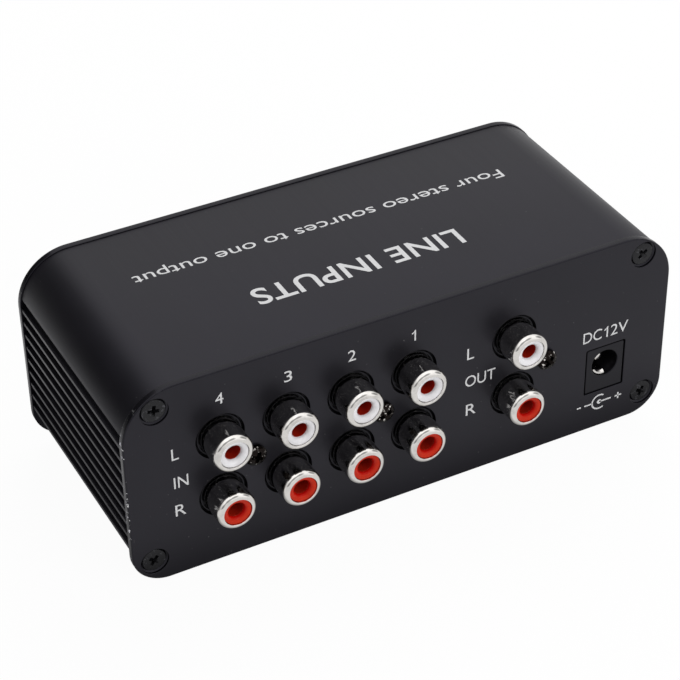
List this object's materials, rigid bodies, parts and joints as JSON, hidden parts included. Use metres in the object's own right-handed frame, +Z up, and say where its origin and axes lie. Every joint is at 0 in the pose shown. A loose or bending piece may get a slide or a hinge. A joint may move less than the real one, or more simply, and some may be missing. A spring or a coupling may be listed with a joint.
{
  "type": "audio source selector",
  "caption": "Stereo audio source selector in a finned black aluminium case, with phono inputs, a phono output and a power inlet behind and a push-and-turn knob in front.",
  "frame": {"origin": "middle of the object's footprint, on the table under the rubber feet", "axes": "+X along the rear panel, to the right when the jacks are faced; -Y out of the rear panel, the way the jacks face; +Y out of the front panel, the way the knob faces; +Z up"},
  "size_m": [0.122, 0.0776, 0.0473],
  "materials": {
    "black_anodised": "satin black anodised",
    "black_screws": "black oxide",
    "bronze_screws": "dark bronze-black plating",
    "foot_rubber": "matt",
    "block_plastic": "fine matt moulding",
    "nickel": "bright nickel plate",
    "white_plastic": "semi-gloss white",
    "red_plastic": "semi-gloss red",
    "contact_metal": "plain",
    "board": "solder mask",
    "relay_plastic": "moulded",
    "chip_plastic": "moulded",
    "capacitor_sleeve": "shrink sleeve",
    "plunger_plastic": "moulded",
    "steel": "plated",
    "lamp": "clear epoxy lens",
    "dark_red_window": "dark infrared-passing acrylic"
  },
  "bodies": {
    "case": {"case_shell": "black_anodised", "rear_panel": "black_anodised", "front_panel": "black_anodised", "rear_panel_screws": "black_screws", "front_panel_screws": "black_screws", "foot_1": "foot_rubber", "foot_2": "foot_rubber", "foot_3": "foot_rubber", "foot_4": "foot_rubber", "input_jack_block": "block_plastic", "output_jack_block": "block_plastic", "input_1_left_shell": "nickel", "input_1_right_shell": "nickel", "input_2_left_shell": "nickel", "input_2_right_shell": "nickel", "input_3_left_shell": "nickel", "input_3_right_shell": "nickel", "input_4_left_shell": "nickel", "input_4_right_shell": "nickel", "output_left_shell": "nickel", "output_right_shell": "nickel", "input_1_left_insulator": "white_plastic", "input_1_right_insulator": "red_plastic", "input_2_left_insulator": "white_plastic", "input_2_right_insulator": "red_plastic", "input_3_left_insulator": "white_plastic", "input_3_right_insulator": "red_plastic", "input_4_left_insulator": "white_plastic", "input_4_right_insulator": "red_plastic", "output_left_insulator": "white_plastic", "output_right_insulator": "red_plastic", "input_contacts": "contact_metal", "output_contacts": "contact_metal", "input_block_screws": "bronze_screws", "output_block_screw": "bronze_screws", "inlet_body": "block_plastic", "inlet_pin": "nickel", "inlet_spring": "nickel", "main_board": "board", "relay_1": "relay_plastic", "relay_2": "relay_plastic", "relay_3": "relay_plastic", "relay_4": "relay_plastic", "microcontroller": "chip_plastic", "regulator": "chip_plastic", "filter_capacitors": "capacitor_sleeve", "front_board": "board", "board_header": "chip_plastic", "encoder_body": "steel", "encoder_nut": "steel", "channel_led_1": "lamp", "channel_led_2": "lamp", "channel_led_3": "lamp", "channel_led_4": "lamp", "infrared_receiver": "chip_plastic", "infrared_window": "dark_red_window"},
    "plunger": {"push_plunger": "plunger_plastic"},
    "knob": {"knob": "black_anodised", "encoder_shaft": "steel", "knob_set_screw": "black_screws"}
  },
  "joints": [
    {"name": "knob_push", "type": "slide", "parent": "case", "child": "plunger", "axis": [0, -1, 0], "range_m": [0, 0.0005], "stiffness_N_per_m": 1000, "springref_m": -0.002},
    {"name": "knob_turn", "type": "hinge", "parent": "plunger", "child": "knob", "pos_m": [-0.03, 0.0218, 0.02455], "axis": [0, 1, 0], "continuous": true}
  ]
}
